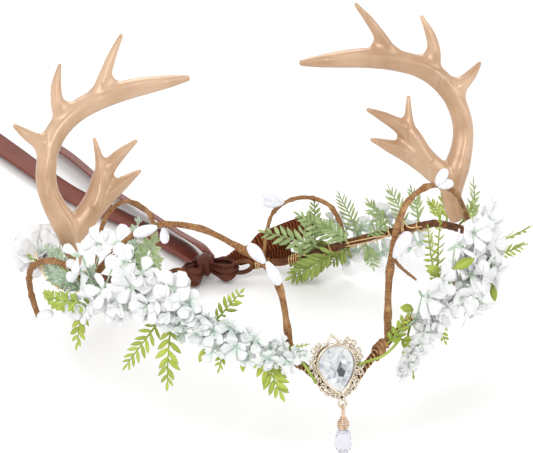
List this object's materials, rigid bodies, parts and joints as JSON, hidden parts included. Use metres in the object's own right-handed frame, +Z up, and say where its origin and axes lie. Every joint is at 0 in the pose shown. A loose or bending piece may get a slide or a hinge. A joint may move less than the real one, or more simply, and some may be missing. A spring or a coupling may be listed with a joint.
{
  "type": "antler crown",
  "caption": "Costume headpiece: a wrapped wire circlet with gold antlers, white blossoms, fern fronds, twig arches, a pear stone and drop at the brow, and a ribbon tie at the back.",
  "frame": {"origin": "centre of the head opening, level with the circlet's sides, where the crown sits on a head", "axes": "-Y towards the brow, +X to the right as seen from in front, +Z up"},
  "size_m": [0.2088, 0.3862, 0.1435],
  "materials": {
    "bark": "paper-wrapped wire, fibrous and matt",
    "twig": "wrapped twig, fibrous and matt",
    "antler": "satin champagne gold paint",
    "blossom": "white silk petals with green hearts",
    "floret": "white silk petals with a mint tint",
    "fern": "matt yellow-green",
    "sage": "matt sage green",
    "bud": "white, faintly grained",
    "gold": "antique rose gold",
    "stone": "clear faceted crystal",
    "crystal": "pale lavender faceted crystal",
    "ribbon": "brown satin ribbon"
  },
  "bodies": {
    "root": {"circlet_wire": "bark", "antler_right": "antler", "antler_left": "antler", "twig_front_left": "twig", "twig_front_right": "twig", "twig_spur": "twig", "twig_back_right": "twig", "twig_back_left": "twig", "twig_loop": "twig", "bud_arch_left_upper": "bud", "bud_arch_left_lower": "bud", "bud_far_left_upper": "bud", "bud_far_left_lower": "bud", "bud_arch_right_upper": "bud", "bud_arch_right_lower": "bud", "bud_spur": "bud", "bud_back_right": "bud", "bud_loop": "bud", "blossoms_left_back": "blossom", "blossoms_left": "blossom", "blossoms_brow_left": "floret", "blossoms_right": "blossom", "blossoms_brow_right": "blossom", "blossoms_back": "blossom", "fern_brow_left": "fern", "fern_low_left": "fern", "fern_low_far_left": "fern", "fern_high_left": "fern", "fern_side_left": "fern", "fern_tail_left": "fern", "leaf_left": "sage", "leaf_antler_left": "sage", "fern_back_low": "sage", "fern_back_high": "sage", "fern_back_tip": "sage", "fern_back_side": "sage", "fern_back_right": "sage", "fern_front_right": "fern", "fern_side_right": "fern", "fern_out_right": "fern", "fern_brow_right": "fern", "filigree_setting": "gold", "pear_stone": "stone", "ribbon_knot": "ribbon", "ribbon_tail_long": "ribbon", "ribbon_tail_short": "ribbon", "ribbon_strip": "ribbon"},
    "drop": {"drop_wire": "gold", "drop_crystal": "crystal"}
  },
  "joints": [
    {"name": "drop_swing", "type": "hinge", "parent": "root", "child": "drop", "pos_m": [-0.00093, -0.10411, -0.02937], "axis": [1, 0, 0], "range_deg": [-60, 45]}
  ]
}
